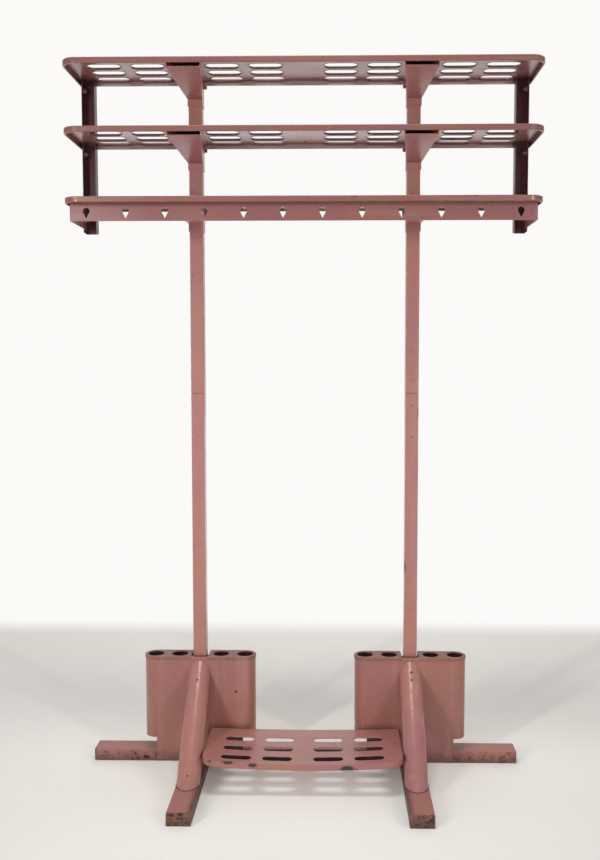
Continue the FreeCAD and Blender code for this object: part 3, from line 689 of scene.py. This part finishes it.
def strap_fasteners(side, hand):
    """Nut, washer and bolt of the end straps, as three pieces for three nodes."""
    inward = (-side, 0.0, 0.0)
    nuts = islands(hand + "_strap_nuts")
    washers = islands(hand + "_strap_washers")
    bolts = islands(hand + "_strap_bolts")

    def build_nuts(work):
        for index, (low, high) in enumerate(nuts):
            centre = (low + high) / 2
            thick = high.x - low.x
            base = centre - Vector(inward) * thick / 2
            corner = (high.z - low.z) / 2
            bore = corner * 0.42
            profile = [(bore, 0.0), (corner * 0.9, 0.0), (corner, thick * 0.12),
                       (corner, thick * 0.82), (corner * 0.86, thick), (bore, thick),
                       (bore, 0.0)]
            add_turned(work, profile, seat(base, inward), 6, 0.5 * index)

    def build_washers(work):
        for low, high in washers:
            centre = (low + high) / 2
            thick = high.x - low.x
            base = centre - Vector(inward) * thick / 2
            outer = (high.z - low.z) / 2
            hole = outer * 0.32
            profile = [(hole, 0.0), (outer * 0.97, 0.0), (outer, thick * 0.25),
                       (outer, thick * 0.7), (outer * 0.95, thick), (hole, thick),
                       (hole, 0.0)]
            add_turned(work, profile, seat(base, inward), 36)

    def build_bolts(work):
        for low, high in bolts:
            centre = (low + high) / 2
            outer_x = high.x if side > 0 else low.x
            inner_x = low.x if side > 0 else high.x
            length = abs(outer_x - inner_x)
            head = (high.z - low.z) / 2
            start = Vector((outer_x, centre.y, centre.z))
            profile = [(0.0, 0.0), (head * 0.55, 0.0001), (head * 0.85, 0.0004),
                       (head, 0.0011), (head, 0.0016), (BOLT_RADIUS, 0.0016)]
            profile += thread(BOLT_RADIUS, 0.0020, length)
            add_turned(work, profile, seat(start, inward), 24)

    for part, build in (("nuts", build_nuts), ("washers", build_washers), ("bolts", build_bolts)):
        name = "%s_strap_%s_detail" % (hand, part)
        finish_piece(name, mesh_from(name, build), METAL,
                     ("%s_strap_%s" % (hand, part),))


def spigot_rivet_detail():
    """Domed rivet heads with a dimple."""
    def build(work):
        for low, high in islands("spigot_rivets"):
            centre = (low + high) / 2
            out = math.copysign(1.0, centre.y)
            thick = high.y - low.y
            radius = (high.z - low.z) / 2
            base = centre - Vector((0.0, out, 0.0)) * thick / 2
            profile = [(0.0, 0.0), (radius, 0.0), (radius, thick * 0.25),
                       (radius * 0.85, thick * 0.7), (radius * 0.5, thick),
                       (radius * 0.3, thick * 0.9), (0.0, thick * 0.6)]
            add_turned(work, profile, seat(base, (0.0, out, 0.0)), 24)
    name = "spigot_rivets_detail"
    finish_piece(name, mesh_from(name, build), METAL, ("spigot_rivets",))


def rack_bolt_detail():
    """Round-headed bolts between boot rack and braces."""
    def build(work):
        for low, high in islands("boot_rack_bolts"):
            side = 1 if high.x > 0 else -1
            head_x = low.x if side > 0 else high.x
            centre = (low + high) / 2
            length = high.x - low.x
            head = (high.z - low.z) / 2
            profile = [(0.0, 0.0), (head * 0.5, 0.0003), (head * 0.85, 0.0013), (head, 0.0026),
                       (head, 0.0035), (BOLT_RADIUS, 0.0035)]
            profile += thread(BOLT_RADIUS, 0.0040, length)
            add_turned(work, profile, seat((head_x, centre.y, centre.z), (side, 0.0, 0.0)), 24)
    name = "boot_rack_bolts_detail"
    finish_piece(name, mesh_from(name, build), METAL, ("boot_rack_bolts",))


screw_heads("bracket_screws_detail", "bracket_screws", 0, post_side)
screw_heads("tongue_screws_detail", "tongue_screws", 1, lambda centre: (0.0, -1.0, 0.0))
spigot_rivet_detail()
rack_bolt_detail()
for side, hand in zip(SIDES, HANDS):
    strap_fasteners(side, hand)


# ---------------------------------------------------------------- rolled rims and seams
def stadium(half_length, radius, steps=8):
    """Outline of a round-ended slot, anticlockwise about its own centre."""
    straight = half_length - radius
    points = []
    for end in (1, -1):
        for k in range(steps + 1):
            angle = math.pi * (k / steps - 0.5) + (0.0 if end > 0 else math.pi)
            points.append((end * straight + radius * math.cos(angle), radius * math.sin(angle)))
    return points


def add_collar(work, centre, half_length, radius, top):
    """Turned-down rim round a slot, deepest at the back and fading out toward the front."""
    wall, flare = COLLAR_WALL, COLLAR_FLARE
    section = [(0.0, 0.0), (0.0, 0.8), (0.3 * wall, 1.0), (0.8 * wall, 1.0),
               (wall + 0.2 * flare, 0.75), (wall + 0.6 * flare, 0.25), (wall + flare, 0.0)]
    rings = []
    for outward, drop in section:
        outline = stadium(half_length + outward, radius + outward)
        ring = []
        for x, y in outline:
            behind = 0.5 + 0.5 * y / (radius + outward)
            depth = COLLAR_DEPTH * (COLLAR_FRONT + (1.0 - COLLAR_FRONT) * behind ** 1.5)
            ring.append(work.verts.new((centre[0] + x, centre[1] + y, top - drop * depth)))
        rings.append(ring)
    join_rings(work, rings + rings[:1], len(rings[0]))


def slot_collars(shelf):
    """Rims under every slot of a shelf."""
    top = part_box(shelf)[1][2] - SHEET

    def build(work):
        for side in SIDES:
            for x in SLOT_COLUMNS:
                for y in SLOT_ROWS:
                    add_collar(work, (side * x, y), SLOT_HALF, SLOT_RADIUS, top)
    name = shelf + "_slot_rims"
    finish_piece(name, mesh_from(name, build), SHELF_PAINT)


for level in ("lower", "middle", "upper"):
    slot_collars(level + "_shelf")


def add_tube(work, path, radius, turns=8):
    """Thin round tube along a closed path of points."""
    count = len(path)
    rings = []
    for k, point in enumerate(path):
        along = (path[(k + 1) % count] - path[k - 1]).normalized()
        place = seat(point, along)
        rings.append([work.verts.new(place @ Vector((radius * math.cos(a),
                                                     radius * math.sin(a), 0.0)))
                      for a in circle(turns)])
    join_rings(work, rings + rings[:1], turns)


def umbrella_rims():
    """Rolled edges of the eight umbrella holes."""
    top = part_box("left_umbrella_holder")[1][2]
    reach = HOLE_RADIUS - HOLE_RIM * 0.4

    def build(work):
        for post in (-POST_X, POST_X):
            for offset in (-HOLE_X[1], -HOLE_X[0], HOLE_X[0], HOLE_X[1]):
                path = [Vector((post + offset + reach * math.cos(a), reach * math.sin(a),
                                top - HOLE_RIM)) for a in circle(48)]
                add_tube(work, path, HOLE_RIM)
    finish_piece("umbrella_hole_rims", mesh_from("umbrella_hole_rims", build), HOLDER_PAINT)


def brace_seams():
    """Dark ring of painted shade along the open seam where each brace's cut end meets the foot."""
    def build(work):
        reach = BRACE_RADIUS + SEAM_GAP
        middle = FOOT_TOP - BRACE_SUM
        for post in (-POST_X, POST_X):
            path = [Vector((post + reach * math.cos(a), middle + math.sqrt(2.0) * reach
                            * math.sin(a), FOOT_TOP + 2.0 * SEAM_GAP)) for a in circle(64)]
            add_tube(work, path, SEAM_RADIUS)
    finish_piece("brace_foot_seams", mesh_from("brace_foot_seams", build), GAP_SHADE)


umbrella_rims()
brace_seams()


# ---------------------------------------------------------------- stage, light and camera
FLOOR_SIZE = 40.0
FLOOR_CENTRE = (0.0, 0.0, -0.0005)
bpy.ops.mesh.primitive_plane_add(size=FLOOR_SIZE, location=FLOOR_CENTRE)
floor = bpy.context.active_object
floor.name = "floor"
floor.data.materials.append(floor_material())

ROOM_LIGHT = 0.34           # strength of the white surroundings as a light, 1 to the eye


def studio_world():
    """White surroundings to the eye, a softer grey as a source of light."""
    world = bpy.data.worlds.new("studio")
    bpy.context.scene.world = world
    world.use_nodes = True
    nodes = world.node_tree.nodes
    background = nodes["Background"]
    background.inputs["Color"].default_value = WALL_COLOUR
    path = nodes.new("ShaderNodeLightPath")
    strength = nodes.new("ShaderNodeMapRange")
    strength.inputs["To Min"].default_value = ROOM_LIGHT
    strength.inputs["To Max"].default_value = 1.0
    links = world.node_tree.links
    links.new(path.outputs["Is Camera Ray"], strength.inputs["Value"])
    links.new(strength.outputs["Result"], background.inputs["Strength"])


studio_world()


def area_light(name, location, target, size, power, spread=180.0):
    """Rectangular lamp that shines from a location toward a target; spread is in degrees."""
    data = bpy.data.lights.new(name, "AREA")
    data.shape = "RECTANGLE"
    data.size, data.size_y = size
    data.energy = power
    data.spread = math.radians(spread)
    lamp = bpy.data.objects.new(name, data)
    bpy.context.scene.collection.objects.link(lamp)
    lamp.location = location
    lamp.rotation_euler = (Vector(target) - Vector(location)).to_track_quat("-Z", "Y").to_euler()
    lamp.visible_camera = False


area_light("rear_wall_bounce", location=(0.0, 1.5, 1.3), target=(0.0, 0.0, 1.3),
           size=(5.0, 3.0), power=26.0)
area_light("ceiling_light", location=(-0.1, -0.75, 3.3), target=(-0.1, -0.55, 0.0),
           size=(1.1, 0.6), power=15.0, spread=130.0)
area_light("left_softbox", location=(-1.7, -2.5, 1.5), target=(-0.1, -0.1, 0.75),
           size=(0.16, 1.3), power=5.7, spread=62.0)
area_light("right_softbox", location=(1.9, -2.3, 1.5), target=(0.1, -0.1, 0.75),
           size=(0.16, 1.3), power=3.5, spread=62.0)

CAMERA_PLACE = (0.0797, -2.6215, 1.129)
CAMERA_TILT = math.radians(90.0 - 3.925)
CAMERA_TURN = math.radians(1.065)
camera_data = bpy.data.cameras.new("camera")
camera_data.sensor_fit = "VERTICAL"
camera_data.sensor_height = 36.0
camera_data.lens = 38.97
camera_data.shift_x = -0.0184
camera = bpy.data.objects.new("camera", camera_data)
bpy.context.scene.collection.objects.link(camera)
camera.location = CAMERA_PLACE
camera.rotation_euler = Euler((CAMERA_TILT, 0.0, CAMERA_TURN))
bpy.context.scene.camera = camera
bpy.context.scene.view_settings.view_transform = "Standard"
